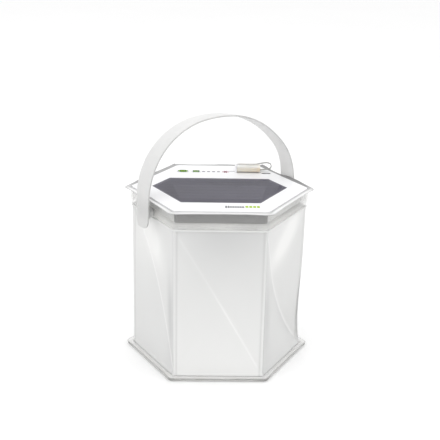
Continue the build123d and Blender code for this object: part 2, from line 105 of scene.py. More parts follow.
def object_coordinates(nodes, links, scale):
    coordinates = nodes.new("ShaderNodeTexCoord")
    mapping = nodes.new("ShaderNodeMapping")
    mapping.inputs["Scale"].default_value = scale
    links.new(coordinates.outputs["Object"], mapping.inputs["Vector"])
    return mapping.outputs["Vector"]


def noise(nodes, links, scale, detail=3.0, stretch=(1.0, 1.0, 1.0)):
    texture = nodes.new("ShaderNodeTexNoise")
    texture.inputs["Scale"].default_value = scale
    texture.inputs["Detail"].default_value = detail
    links.new(object_coordinates(nodes, links, stretch), texture.inputs["Vector"])
    return texture.outputs["Fac"]


def ramp(nodes, links, source, stops):
    node = nodes.new("ShaderNodeValToRGB")
    while len(node.color_ramp.elements) < len(stops):
        node.color_ramp.elements.new(0.5)
    for element, (place, colour) in zip(node.color_ramp.elements, stops):
        element.position = place
        element.color = (*colour, 1.0)
    links.new(source, node.inputs["Fac"])
    return node.outputs["Color"]


def add_bump(nodes, links, shader, height, strength, distance):
    bump = nodes.new("ShaderNodeBump")
    bump.inputs["Strength"].default_value = strength
    bump.inputs["Distance"].default_value = distance
    links.new(height, bump.inputs["Height"])
    links.new(bump.outputs["Normal"], shader.inputs["Normal"])


def shade(colour, factor):
    return tuple(min(1.0, c * factor) for c in colour)


def finish_material(name, colour, roughness, variation=0.05, grain=300.0, bump=0.0, patch=25.0,
                    roughness_spread=0.08, stretch=(1.0, 1.0, 1.0), **settings):
    """A Principled material with mottled colour, uneven roughness and a fine grain."""
    material, nodes, links, shader = new_material(name)
    for key, value in settings.items():
        shader.inputs[key.replace("_", " ")].default_value = value
    mottled = noise(nodes, links, patch, 4.0, stretch)
    stops = [(0.3, shade(colour, 1 - variation)), (0.7, shade(colour, 1 + variation))]
    tint = ramp(nodes, links, mottled, stops)
    links.new(tint, shader.inputs["Base Color"])
    fine = noise(nodes, links, grain, 2.0, stretch)
    spread = nodes.new("ShaderNodeMapRange")
    spread.inputs["To Min"].default_value = max(0.02, roughness - roughness_spread)
    spread.inputs["To Max"].default_value = min(1.0, roughness + roughness_spread)
    links.new(fine, spread.inputs["Value"])
    links.new(spread.outputs["Result"], shader.inputs["Roughness"])
    if bump:
        add_bump(nodes, links, shader, fine, 1.0, bump)
    return material


def mix_surface(material, kind, share):
    """Mixes a share of another shader into the surface, and gives that shader's node."""
    nodes, links = material.node_tree.nodes, material.node_tree.links
    other = nodes.new(kind)
    mix = nodes.new("ShaderNodeMixShader")
    mix.inputs["Fac"].default_value = share
    links.new(nodes["Principled BSDF"].outputs["BSDF"], mix.inputs[1])
    links.new(other.outputs["BSDF"], mix.inputs[2])
    links.new(mix.outputs["Shader"], nodes["Material Output"].inputs["Surface"])
    return other


def through_light(material, colour, share):
    """Lets light from behind the film through, as a share of the surface."""
    translucent = mix_surface(material, "ShaderNodeBsdfTranslucent", share)
    translucent.inputs["Color"].default_value = (*colour, 1.0)


def see_through(material, share):
    """Lets a share of the light pass straight through the surface."""
    mix_surface(material, "ShaderNodeBsdfTransparent", share)


def brushed(name, colour, roughness, stretch=(4.0, 90.0, 90.0)):
    return finish_material(name, colour, roughness, 0.06, 40.0, 0.000004, 30.0, 0.1, stretch, Metallic=1.0)


def mix_base(material, factor, colour):
    """Blends the base colour towards colour where the factor is high."""
    nodes, links = material.node_tree.nodes, material.node_tree.links
    shader = nodes["Principled BSDF"]
    source = shader.inputs["Base Color"].links[0].from_socket
    mix = nodes.new("ShaderNodeMix")
    mix.data_type = "RGBA"
    mix.inputs[7].default_value = (*colour, 1.0)
    links.new(factor, mix.inputs[0])
    links.new(source, mix.inputs[6])
    links.new(mix.outputs[2], shader.inputs["Base Color"])


def crease_mix(material, attribute, line_colour, amount):
    """Blends the base colour towards line_colour where the mesh attribute is high."""
    nodes, links = material.node_tree.nodes, material.node_tree.links
    reader = nodes.new("ShaderNodeAttribute")
    reader.attribute_name = attribute
    scale = nodes.new("ShaderNodeMath")
    scale.operation = "MULTIPLY"
    scale.inputs[1].default_value = amount
    links.new(reader.outputs["Fac"], scale.inputs[0])
    mix_base(material, scale.outputs["Value"], line_colour)


def place_mix(material, letter, start, end, colour):
    """Blends the base colour towards colour from start to end along one axis of the object."""
    nodes, links = material.node_tree.nodes, material.node_tree.links
    split = nodes.new("ShaderNodeSeparateXYZ")
    links.new(object_coordinates(nodes, links, (1.0, 1.0, 1.0)), split.inputs["Vector"])
    spread = nodes.new("ShaderNodeMapRange")
    spread.inputs["From Min"].default_value = start
    spread.inputs["From Max"].default_value = end
    links.new(split.outputs[letter], spread.inputs["Value"])
    mix_base(material, spread.outputs["Result"], colour)


wall_film = finish_material("wall_film", (0.56, 0.565, 0.565), 0.42, 0.015, 900.0, 0.00002, 18.0, 0.06)
# Painted light and shade on the wall film: glow patches near the top and lighter towards the bottom, painted
# highlights on the vertical and diagonal folds, and painted shade in the dips beside the vertical folds.
crease_mix(wall_film, "tone_and_painted_light", (0.935, 0.935, 0.925), 1.0)
crease_mix(wall_film, "crease_highlight", (1.0, 1.0, 0.995), 0.75)
crease_mix(wall_film, "groove_shade", (0.40, 0.41, 0.40), 0.35)
through_light(wall_film, (0.90, 0.90, 0.895), 0.2)

clear_film = finish_material("clear_film", (0.99, 0.99, 0.97), 0.2, 0.06, 500.0, 0.00003, 40.0, 0.08)
# Painted shade: the films' cut edges and corners are darkened.
crease_mix(clear_film, "edge", (0.34, 0.34, 0.32), 1.0)
see_through(clear_film, 0.5)
rim_clear = finish_material("rim_clear", (0.93, 0.93, 0.93), 0.3, 0.03, 500.0, 0.00002, 40.0, 0.06)
# Painted shade on the rim film: a grey line beside the plate, its cut edge and corners, and grey where it
# curls up behind.
crease_mix(rim_clear, "edge", (0.15, 0.148, 0.15), 1.0)
see_through(rim_clear, 0.15)
base_clear = finish_material("base_clear", (0.93, 0.93, 0.92), 0.25, 0.03, 500.0, 0.00001, 40.0, 0.06)
see_through(base_clear, 0.9)

frosted = finish_material("frosted_plastic", (0.62, 0.62, 0.61), 0.32, 0.02, 700.0, 0.00001, 20.0, 0.05)
# Painted light and shade: the collar is pale below z = 156 mm, where light reaches it, and keeps its darker
# grey above 158 mm, where the compartment under the top plate is in shade.
place_mix(frosted, "Z", 0.1580, 0.1560, (0.95, 0.95, 0.94))
see_through(frosted, 0.76)
diffuser_frost = finish_material("diffuser_frost", (0.93, 0.93, 0.91), 0.5, 0.02, 700.0, 0.00001, 20.0, 0.05)
through_light(diffuser_frost, (0.95, 0.95, 0.92), 0.5)
white_print = finish_material("white_print", (0.90, 0.90, 0.915), 0.3, 0.012, 600.0, 0.000003, 12.0, 0.05,
                              Coat_Weight=0.3, Coat_Roughness=0.15)
button_white = finish_material("button_white", (0.88, 0.88, 0.90), 0.38, 0.015, 800.0, 0.000004, 40.0, 0.05)
panel_border = finish_material("panel_border", (0.115, 0.111, 0.145), 0.3, 0.1, 400.0, 0.0, 60.0, 0.05)
panel_glass = finish_material("panel_glass", (0.115, 0.108, 0.16), 0.1, 0.1, 900.0, 0.000002, 30.0, 0.04)
see_through(panel_glass, 0.55)
light_pipe = finish_material("light_pipe", (0.30, 0.29, 0.33), 0.6, 0.08, 500.0, 0.0, 200.0, 0.08,
                             Specular_IOR_Level=0.15)
indicator_red = finish_material("indicator_red", (0.20, 0.06, 0.10), 0.6, 0.15, 500.0, 0.0, 300.0, 0.08,
                                Specular_IOR_Level=0.15)
chassis_grey = finish_material("chassis_grey", (0.80, 0.80, 0.79), 0.55, 0.04, 900.0, 0.00001, 30.0, 0.08)
# Painted shade: the chassis's front face, from y = -65.5 mm outwards, turns near black and shows through the
# collar as a dark band.
place_mix(chassis_grey, "Y", -0.0655, -0.0675, (0.035, 0.036, 0.036))
screw_steel = brushed("screw_steel", (0.6, 0.6, 0.61), 0.3)
foam = finish_material("foam", (0.03, 0.03, 0.03), 0.9, 0.3, 1500.0, 0.0001, 200.0, 0.05)
battery_foil = brushed("battery_foil", (0.68, 0.68, 0.7), 0.3, (30.0, 60.0, 30.0))
board_green = finish_material("board_green", (0.02, 0.16, 0.07), 0.35, 0.15, 600.0, 0.00001, 120.0, 0.1)
led_package = finish_material("led_package", (0.93, 0.85, 0.5), 0.35, 0.05, 900.0, 0.0, 300.0, 0.05)
board_aluminium = finish_material("board_aluminium", (0.85, 0.85, 0.84), 0.4, 0.03, 500.0, 0.0, 60.0, 0.08)
wire_red = finish_material("wire_red", (0.45, 0.02, 0.02), 0.45, 0.1, 700.0, 0.0, 120.0, 0.08)
plug_steel = brushed("plug_steel", (0.72, 0.72, 0.72), 0.22)
plug_insulator = finish_material("plug_insulator", (0.8, 0.8, 0.8), 0.45, 0.03, 700.0, 0.0, 90.0, 0.06)
contact_gold = brushed("contact_gold", (0.83, 0.6, 0.25), 0.25)
cap_rubber = finish_material("cap_rubber", (0.66, 0.51, 0.29), 0.5, 0.07, 900.0, 0.00002, 90.0, 0.08,
                             Subsurface_Weight=0.25, Subsurface_Radius=(0.004, 0.003, 0.002),
                             Subsurface_Scale=1.0)
# Painted light: the cap is lighter on top and towards its open end.
crease_mix(cap_rubber, "tone_and_painted_light", (0.93, 0.90, 0.84), 1.0)
loop_clear = finish_material("loop_clear", (0.42, 0.42, 0.40), 0.25, 0.05, 500.0, 0.0, 90.0, 0.05)
# Painted highlight along the top of the loop.
crease_mix(loop_clear, "tone_and_painted_light", (0.85, 0.84, 0.82), 1.0)
see_through(loop_clear, 0.2)
handle_film = finish_material("handle_film", (0.79, 0.79, 0.785), 0.4, 0.03, 60.0, 0.00003, 14.0, 0.07)
# Painted light on the strap, lighter towards the crown and on the right leg, and painted shade along its
# edges.
crease_mix(handle_film, "tone_and_painted_light", (0.99, 0.99, 0.985), 1.0)
crease_mix(handle_film, "edge", (0.36, 0.36, 0.35), 0.6)
through_light(handle_film, (0.84, 0.84, 0.835), 0.4)
stud_plastic = finish_material("stud_plastic", (0.70, 0.70, 0.69), 0.3, 0.03, 600.0, 0.0, 60.0, 0.06)
seal_rubber = finish_material("seal_rubber", (0.42, 0.42, 0.43), 0.5, 0.08, 700.0, 0.00001, 60.0, 0.08)
print_green = finish_material("print_green", (0.008, 0.10, 0.001), 0.7, 0.08, 700.0, 0.0, 400.0, 0.05,
                              Specular_IOR_Level=0.1)
print_lime = finish_material("print_lime", (0.36, 0.55, 0.015), 0.7, 0.06, 700.0, 0.0, 400.0, 0.05,
                             Specular_IOR_Level=0.1)
dark_print_and_shade = finish_material("dark_print_and_shade", (0.05, 0.05, 0.055), 0.7, 0.1, 700.0, 0.0, 400.0, 0.05,
                             Specular_IOR_Level=0.1)
print_grey = finish_material("print_grey", (0.24, 0.235, 0.27), 0.7, 0.06, 700.0, 0.0, 400.0, 0.05,
                             Specular_IOR_Level=0.1)
print_rose = finish_material("print_rose", (0.38, 0.10, 0.16), 0.7, 0.08, 700.0, 0.0, 400.0, 0.05,
                             Specular_IOR_Level=0.1)
floor_paint = finish_material("floor_paint", (0.965, 0.965, 0.965), 0.85, 0.004, 60.0, 0.00002, 3.0, 0.04)


def cell_finish():
    """Dark cells with fine lighter contact fingers across them."""
    material, nodes, links, shader = new_material("solar_cell")
    shader.inputs["Specular IOR Level"].default_value = 0.4
    shader.inputs["Roughness"].default_value = 0.25
    tint = ramp(nodes, links, noise(nodes, links, 22.0, 3.0),
                [(0.3, (0.125, 0.120, 0.160)), (0.7, (0.145, 0.143, 0.165))])
    links.new(tint, shader.inputs["Base Color"])
    wave = nodes.new("ShaderNodeTexWave")
    wave.bands_direction = "X"
    wave.inputs["Scale"].default_value = 130.0
    links.new(object_coordinates(nodes, links, (1.0, 1.0, 1.0)), wave.inputs["Vector"])
    finger = ramp(nodes, links, wave.outputs["Fac"], [(0.93, (0, 0, 0)), (0.99, (1, 1, 1))])
    mix_base(material, finger, (0.16, 0.16, 0.18))
    return material


NODE_MATERIALS = {
    "base_plate": base_clear, "tray": frosted, "diffuser": diffuser_frost, "rim_seal": seal_rubber,
    "top_plate": white_print, "usb_mount": white_print, "power_button": button_white,
    "battery_button": button_white, "solar_substrate": panel_border, "solar_cells": cell_finish(),
    "panel_cover": panel_glass, "battery_leds": light_pipe, "charge_indicator": indicator_red,
    "chassis": chassis_grey, "chassis_screws": screw_steel, "board_screws": screw_steel,
    "led_screws": screw_steel, "tact_switches": screw_steel, "battery_pad": foam,
    "battery_cell": battery_foil, "circuit_board": board_green, "board_leds": led_package,
    "led_chips": led_package, "led_board": board_aluminium, "battery_leads": wire_red,
    "panel_leads": wire_red, "led_leads": wire_red, "usb_plug_shell": plug_steel,
    "usb_plug_tongue": plug_insulator, "usb_contacts": contact_gold, "pivot_studs": stud_plastic,
}
for node_name, material in NODE_MATERIALS.items():
    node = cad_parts[node_name]
    node.data.materials.clear()
    node.data.materials.append(material)

# ---------------------------------------------------------------- mesh helpers


def add_mesh(name, vertices, faces, material, smooth=True, sharp=None):
    mesh = bpy.data.meshes.new(name)
    mesh.from_pydata([tuple(v) for v in vertices], [], faces)
    mesh.update()
    mesh.materials.append(material)
    piece = bpy.data.objects.new(name, mesh)
    bpy.context.scene.collection.objects.link(piece)
    if smooth:
        mesh.polygons.foreach_set("use_smooth", [True] * len(mesh.polygons))
        if sharp:
            mesh.set_sharp_from_angle(angle=math.radians(sharp))
    return piece


def attribute(piece, name, values):
    layer = piece.data.attributes.new(name, "FLOAT", "POINT")
    layer.data.foreach_set("value", np.asarray(values, np.float32))


def hex_corner(radius, k):
    angle = math.radians(60 * k)
    return np.array([radius * math.cos(angle), radius * math.sin(angle)])


def rounded_hexagon(radius, corner, per_side=24, per_corner=8):
    """Points round a hexagon with rounded corners, counter-clockwise, and each point's outward direction."""
    points, normals = [], []
    cut = corner / SQRT3
    for k in range(6):
        vertex = hex_corner(radius, k)
        inward = -vertex / radius
        centre = vertex + inward * (corner / FLAT)
        middle = 60 * k
        for step in range(per_corner + 1):
            angle = math.radians(middle - 30 + 60 * step / per_corner)
            direction = np.array([math.cos(angle), math.sin(angle)])
            points.append(centre + direction * corner)
            normals.append(direction)
        after = hex_corner(radius, k + 1)
        edge = (after - vertex) / np.linalg.norm(after - vertex)
        start, end = vertex + edge * cut, after - edge * cut
        out = np.array([math.cos(math.radians(middle + 30)), math.sin(math.radians(middle + 30))])
        for step in range(1, per_side):
            points.append(start + (end - start) * step / per_side)
            normals.append(out)
    return np.array(points), np.array(normals)


def loft(name, rings, material):
    """A closed surface through rings of equal length. The last ring joins the first."""
    count = len(rings[0])
    vertices = np.concatenate(rings)
    faces = []
    for i in range(len(rings)):
        a, b = i * count, ((i + 1) % len(rings)) * count
        for j in range(count):
            n = (j + 1) % count
            faces.append((a + j, a + n, b + n, b + j))
    return add_mesh(name, vertices, faces, material)


def capped_tube(name, rings, material, sharp, clockwise=True):
    """A closed surface through rings of equal length, with a flat face over the first and the last."""
    count = len(rings[0])
    vertices = np.concatenate(rings)
    first, last = range(count), range((len(rings) - 1) * count, len(rings) * count)
    faces = []
    for a in range(0, last.start, count):
        b = a + count
        for j in range(count):
            n = (j + 1) % count
            faces.append((a + j, b + j, b + n, a + n) if clockwise else (a + j, a + n, b + n, b + j))
    faces.append(tuple(first if clockwise else reversed(first)))
    faces.append(tuple(reversed(last) if clockwise else last))
    return add_mesh(name, vertices, faces, material, sharp=sharp), vertices


# ---------------------------------------------------------------- the wall: a twist-fold film tube

GRID = 72
# sides are numbered counter-clockwise from the corner on +X, so sides 0 and 5 meet at the right corner
LEFT_SIDE, FRONT_SIDE, RIGHT_SIDE = 3, 4, 5
VALLEY_DEPTHS = (8.5, 9.0, 10.0, 7.5, 5.0, 12.0)  # mm, deepest inward bow of each side's diagonal
VALLEY_PEAKS = (0.50, 0.52, 0.50, 0.40, 0.55, 0.60)  # where along the diagonal, from its top end
FILM_THICKNESS = 0.55 * MM


def falloff(distance, width):
    return math.exp(-((distance / width) ** 2))


def spaced(u):
    return 0.5 * u + 0.25 * (1.0 - math.cos(math.pi * u))


def valley_profile(along, peak):
    """0 at both ends of the diagonal and 1 at its deepest place."""
    warped = along ** (math.log(0.5) / math.log(peak)) if along > 0 else 0.0
    return math.sin(math.pi * min(1.0, max(0.0, warped))) ** 0.8


def wall_offsets(side, a, t):
    """Outward offset in metres, the painted highlight on the vertical and diagonal folds, and the painted
    shade in the dip beside each vertical fold.
    """
    run = WALL_R * min(a, 1 - a)
    height = WALL_H * t
    slant = abs(a + t - 1) * WALL_R * WALL_H / math.hypot(WALL_R, WALL_H)
    along = 0.5 * (a + 1 - t)
    room = min(along, 1 - along)
    away = abs(a + t - 1) / 2
    ratio = max(0.0, 1 - away / room) if room > 1e-6 else 0.0
    depth = VALLEY_DEPTHS[side] * MM * valley_profile(along, VALLEY_PEAKS[side])
    fold = ratio ** 1.35
    offset = -depth * fold
    offset += 0.45 * MM * falloff(run, 0.9 * MM) - 0.30 * MM * falloff(run, 3.2 * MM)
    near_right = a if side == 0 else 1 - a if side == RIGHT_SIDE else 1.0
    offset -= 2.6 * MM * math.sin(math.pi * (1 - t) ** 2.6) * max(0.0, 1 - near_right / 0.45) ** 1.5
    end = min(1.0, height / (10 * MM)) * min(1.0, (WALL_H - height) / (10 * MM))
    if side == FRONT_SIDE:
        end *= 0.25 + 0.75 * min(1.0, max(0.0, (0.62 - t) / 0.2))
    offset += 0.35 * MM * end * falloff(slant, 0.8 * MM)
    foot = max(0.0, 1 - height / (4.0 * MM))
    head = max(0.0, 1 - (WALL_H - height) / (3.0 * MM))
    offset += 1.5 * MM * foot ** 2 + 0.7 * MM * head ** 2
    crease_highlight = max(0.4 * falloff(run, 0.8 * MM), 0.9 * end * falloff(slant, 0.9 * MM))
    groove_shade = falloff(run - 2.6 * MM, 0.8 * MM) * 0.8
    return offset, crease_highlight, groove_shade


def bump_at(a, t, centre_a, centre_t, wide, tall, lean=0.0):
    across = a - centre_a - lean * (t - centre_t)
    return math.exp(-((across / wide) ** 2) - ((t - centre_t) / tall) ** 2)


def wall_tone_and_painted_light(side, a, t):
    """Painted light and shade on the film, 0 to 1. All sides but the front have a painted glow patch near the
    top, and every side gets lighter towards the bottom. The front has painted shade under the top unit; the
    other sides are a little lighter above their diagonal fold than below it, with painted shade at mid-height
    near one corner.
    """
    if side == FRONT_SIDE:
        tone_and_painted_light = 0.45 + 0.50 * (1 - t) ** 1.1 - 0.20 * bump_at(a, t, 0.55, 1.0, 0.40, 0.30)
        tone_and_painted_light += 0.10 * bump_at(a, t, 0.05, 0.9, 0.14, 0.3)
    else:
        glow_a = 0.42 if side == LEFT_SIDE else 0.60
        lean = -0.25 if side == LEFT_SIDE else 1.0
        beside = 0.18 * bump_at(a, t, 0.1, 0.85, 0.25, 0.3) if side == LEFT_SIDE else 0.0
        tone_and_painted_light = 0.54 + 0.10 * (1 - t) + beside
        tone_and_painted_light += 0.62 * bump_at(a, t, glow_a, 0.86, 0.20, 0.17, lean)
        tone_and_painted_light += 0.12 * bump_at(a, t, 0.2, 1.0, 0.3, 0.4)
        if a + t > 1:
            tone_and_painted_light += 0.03
        else:
            tone_and_painted_light -= 0.05
        if side == LEFT_SIDE:
            tone_and_painted_light -= 0.5 * bump_at(a, t, 0.88, 0.40, 0.09, 0.26)
        else:
            tone_and_painted_light -= 0.3 * bump_at(a, t, 0.12, 0.40, 0.14, 0.30)
    return max(0.0, min(1.0, tone_and_painted_light))


def build_wall():
    columns, crease_highlights, groove_shades, tones_and_painted_light, inner = [], [], [], [], []
    heights = [1 - spaced(j / GRID) for j in range(GRID + 1)]
    for side in range(6):
        left, right = hex_corner(WALL_R - 0.3 * MM, side), hex_corner(WALL_R - 0.3 * MM, side + 1)
        angle = math.radians(60 * side + 30)
        out = np.array([math.cos(angle), math.sin(angle)])
        for i in range(GRID):
            a = spaced(i / GRID)
            place = left + (right - left) * a
            direction = out
            if i == 0:
                direction = hex_corner(1.0, side)
            for t in heights:
                offset, crease_highlight, groove_shade = wall_offsets(side, a, t)
                if i == 0:
                    other = wall_offsets((side + 5) % 6, 1.0, t)[0]
                    offset = 0.5 * (offset + other)
                z = WALL_BOTTOM + WALL_H * t
                outer_xy = place + direction * offset
                inner_xy = outer_xy - direction * FILM_THICKNESS
                columns.append((outer_xy[0], outer_xy[1], z))
                inner.append((inner_xy[0], inner_xy[1], z))
                tone_and_painted_light = wall_tone_and_painted_light(side, a, t)
                if i == 0:
                    tone_and_painted_light = 0.5 * (tone_and_painted_light + wall_tone_and_painted_light((side + 5) % 6, 1.0, t))
                crease_highlights.append(crease_highlight)
                groove_shades.append(groove_shade)
                tones_and_painted_light.append(tone_and_painted_light)
    rows = GRID + 1
    total_columns = 6 * GRID
    base = len(columns)
    faces = []
    for c in range(total_columns):
        n = (c + 1) % total_columns
        for j in range(GRID):
            top_left, low_left = c * rows + j, c * rows + j + 1
            top_right, low_right = n * rows + j, n * rows + j + 1
            faces.append((low_left, low_right, top_left))
            faces.append((low_right, top_right, top_left))
            faces.append((base + low_left, base + top_left, base + low_right))
            faces.append((base + low_right, base + top_left, base + top_right))
        faces.append((c * rows, n * rows, base + n * rows, base + c * rows))
        faces.append((n * rows + GRID, c * rows + GRID, base + c * rows + GRID, base + n * rows + GRID))
    wall = add_mesh("wall_skin", columns + inner, faces, wall_film)
    attribute(wall, "crease_highlight", crease_highlights + crease_highlights)
    attribute(wall, "groove_shade", groove_shades + groove_shades)
    attribute(wall, "tone_and_painted_light", tones_and_painted_light + tones_and_painted_light)
    return wall


wall = build_wall()
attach(wall, "wall")
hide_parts("lantern_wall")
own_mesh(wall)

# ---------------------------------------------------------------- the weld bead under the collar


def bead_rings(radius, corner, z, tube, steps=10):
    outline, normals = rounded_hexagon(radius, corner)
    rings = []
    for step in range(steps):
        angle = 2 * math.pi * step / steps
        ring = outline + normals * tube * math.cos(angle)
        heights = np.full((len(ring), 1), z + tube * math.sin(angle))
        rings.append(np.hstack([ring, heights]))
    return rings


bead = loft("wall_bead", bead_rings(0.0853, 0.003, TRAY_BOTTOM - 0.1 * MM, 1.0 * MM), wall_film)
attribute(bead, "tone_and_painted_light", np.full(len(bead.data.vertices), 0.75))
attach(bead, "top")

# ---------------------------------------------------------------- films: rim, floor and hem


def ripple(point, amount, seed):
    """A slow waviness, the same for all layers that share a seed."""
    angle = math.atan2(point[1], point[0])
    return amount * (math.sin(5 * angle + seed) + 0.6 * math.sin(11 * angle + 2.1 * seed)
                     + 0.35 * math.sin(23 * angle + 3.3 * seed)) / 1.95


def corner_nearness(point, width=14.0):
    angle = math.degrees(math.atan2(point[1], point[0])) % 60
    return math.exp(-((min(angle, 60 - angle) / width) ** 2))


def free_edge_shade(point, share):
    """Painted shade on the film: only its cut edge, and more at the corners."""
    return max(0.0, (share - 0.86) / 0.14) * (0.35 + 0.5 * corner_nearness(point, 5.0))


def rim_edge_shade(point, share):
    """Painted shade on the rim film: white in front, with a grey line beside the plate and darker at the cut
    edge and corners, and grey where the film curls up behind.
    """
    behind = min(1.0, max(0.0, (point[1] + 0.004) / 0.012))
    groove_shade = 0.38 if share < 0.3 else 0.0
    cut = 0.35 * max(0.0, (share - 0.9) / 0.1) + 0.3 * corner_nearness(point, 4.0) * share
    right = 1.0 if point[0] > 0.03 else 0.8
    return min(1.0, (1 - behind) * (groove_shade + cut) + behind * right * (0.85 if share > 0.2 else 0.6))


def film_ring(name, inner_radius, outer_radius, low, high, corner, wave, lift, seed, material, edge_shading):
    """A flat hexagonal film band, wavy towards its free outer edge."""
    rings, edge_shades = [], []
    shares = (0.0, 0.25, 0.5, 0.75, 0.86, 0.9, 1.0)
    for top in (True, False):
        for share in shares if top else reversed(shares):
            radius = inner_radius + (outer_radius - inner_radius) * share
            outline, _ = rounded_hexagon(radius, corner * (0.4 + 0.6 * share))
            ring = []
            for point in outline:
                curls = edge_shading is rim_edge_shade and point[1] > 0.002
                curl = (1.0 if abs(point[0]) < 0.045 else 1.8) * MM if curls else 0.0
                curl *= min(1.0, max(0.0, point[1] / 0.02)) * (1.0 if point[0] > 0 else 0.8)
                if point[0] > 0:
                    curl *= 1 - 0.8 * math.exp(-(((point[1] - 0.055) / 0.013) ** 4))
                point = point * (1 + 0.014 * share * corner_nearness(point, 6.0))
                move = share ** 2 * (ripple(point, wave, seed) + lift * corner_nearness(point) + curl)
                edge = 0.25 * (high - low) if share == 1.0 else 0.0
                z = (high - edge if top else low + edge) + move
                ring.append((point[0], point[1], z))
                # How much painted shade this point gets.
                edge_shades.append(edge_shading(point, share))
            rings.append(np.array(ring))
    band = loft(name, rings, material)
    attribute(band, "edge", edge_shades)
    return band


RIM_INNER, RIM_OUTER = 0.0865, 0.0914
rim = film_ring("rim_band", RIM_INNER, RIM_OUTER, rim_low.z, rim_high.z, 0.0055, 0.2 * MM, -0.4 * MM, 1.7,
                rim_clear, rim_edge_shade)
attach(rim, "top")
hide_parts("rim_film")

HEM_INNER, HEM_OUTER = WALL_R - 0.6 * MM, 0.0912
hem = film_ring("hem_band", HEM_INNER, HEM_OUTER, HEM_TOP - 0.8 * MM, HEM_TOP, 0.004, 0.25 * MM,
                0.35 * MM, 0.6, clear_film, free_edge_shade)
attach(hem, "base")
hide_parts("lower_hem")


FLOOR_FILM_R = 0.092


def floor_film():
    """The bottom film: flat where it is welded, with a wavy free edge that lifts at the corners."""
    low, high = film_low.z, film_high.z
    rings, edge_shades = [], []
    for top in (True, False):
        shares = (0.02, 0.5, 0.9, 0.95, 0.985, 1.0)
        for share in shares if top else reversed(shares):
            outline, _ = rounded_hexagon(FLOOR_FILM_R * share, 0.004 * share)
            free = max(0.0, (share - 0.92) / 0.08)
            ring = []
            for point in outline:
                lift = 0.3 * MM + ripple(point, 0.3 * MM, 2.9) + 0.4 * MM * corner_nearness(point)
                wave = free ** 2 * lift
                edge = 0.25 * (high - low) if share == 1.0 else 0.0
                z = (high - edge if top else low + edge) + max(0.0, wave)
                ring.append((point[0], point[1], z))
                # Painted shade at the film's cut edge, more at the lifted corners.
                edge_shades.append(max(0.0, (share - 0.97) / 0.03) * 0.4 + 0.5 * free * corner_nearness(point, 4.0))
            rings.append(np.array(ring))
    sheet = loft("floor_film", rings, clear_film)
    attribute(sheet, "edge", edge_shades)
    return sheet


bottom = floor_film()
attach(bottom, "base")
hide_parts("bottom_film")

# ---------------------------------------------------------------- the strap handle

HANDLE_ANGLE = math.radians(30.0)
HANDLE_LEAN = math.radians(7.0)
STRAP_HALF_SPAN, STRAP_RISE = 82.7, 85.0
CROWN_R, CORNER_R = 88.0, 75.0
STRAP_WIDTH, STRAP_THICKNESS, LEG_END = 24.0, 1.6, 13.2
BOSS_RADIUS, BOSS_START = 6.0, 77.35
axis_u = Vector((math.cos(HANDLE_ANGLE), math.sin(HANDLE_ANGLE), 0))
axis_v = Vector((-math.sin(HANDLE_ANGLE), math.cos(HANDLE_ANGLE), 0))
arch_up = Vector((0, 0, math.cos(HANDLE_LEAN))) + axis_v * math.sin(HANDLE_LEAN)
arch_side = axis_v * math.cos(HANDLE_LEAN) - Vector((0, 0, math.sin(HANDLE_LEAN)))
pivot = Vector((0, 0, PIVOT_Z))
corner_x = STRAP_HALF_SPAN - CORNER_R
crown_y = STRAP_RISE - CROWN_R
corner_y = crown_y + math.sqrt((CROWN_R - CORNER_R) ** 2 - corner_x ** 2)
corner_turn = math.atan2(corner_y - crown_y, corner_x)


def strap_line():
    """The strap's centre line and outward directions, in mm in the arch's plane, from right to left."""
    line = []
    for step in range(24):
        y = -LEG_END + (corner_y + LEG_END) * step / 24
        line.append((STRAP_HALF_SPAN, y, 1.0, 0.0))
    for step in range(36):
        angle = corner_turn * step / 36
        line.append((corner_x + CORNER_R * math.cos(angle), corner_y + CORNER_R * math.sin(angle),
                     math.cos(angle), math.sin(angle)))
    for step in range(61):
        angle = corner_turn + (math.pi - 2 * corner_turn) * step / 60
        line.append((CROWN_R * math.cos(angle), crown_y + CROWN_R * math.sin(angle),
                     math.cos(angle), math.sin(angle)))
    mirrored = [(-x, y, -nx, ny) for x, y, nx, ny in reversed(line[:60])]
    settled = []
    for x, y, nx, ny in line + mirrored:
        if x < 0:
            x -= 2.0 * max(0.0, min(1.0, (12 - y) / 25)) ** 1.5
        else:
            low = max(0.0, min(1.0, (26 - y) / 18))
            x += 1.4 * falloff(y - 42, 14) - 1.4 * low * min(1.0, x / 80)
        settled.append((x, y - 1.6 * falloff(x, 30), nx, ny))
    return settled


def half_width(y):
    """The strap's half width at a height in its plane: full, with rounded corners at the free end."""
    corner = 7.0
    low = -LEG_END + corner
    narrow = 1.0 - 0.06 * max(0.0, min(1.0, (12 - y) / 24))
    half = STRAP_WIDTH / 2 * narrow
    if y >= low:
        return half
    rise = (low - y) / corner
    return half - corner + corner * math.sqrt(max(0.0, 1 - rise * rise)) + 0.0001


# places across the strap's width, as shares of its half width
STRAP_PLACES = (-1.0, -0.985, -0.94, -0.85, -0.5, -0.2, 0.2, 0.5, 0.85, 0.94, 0.985, 1.0)


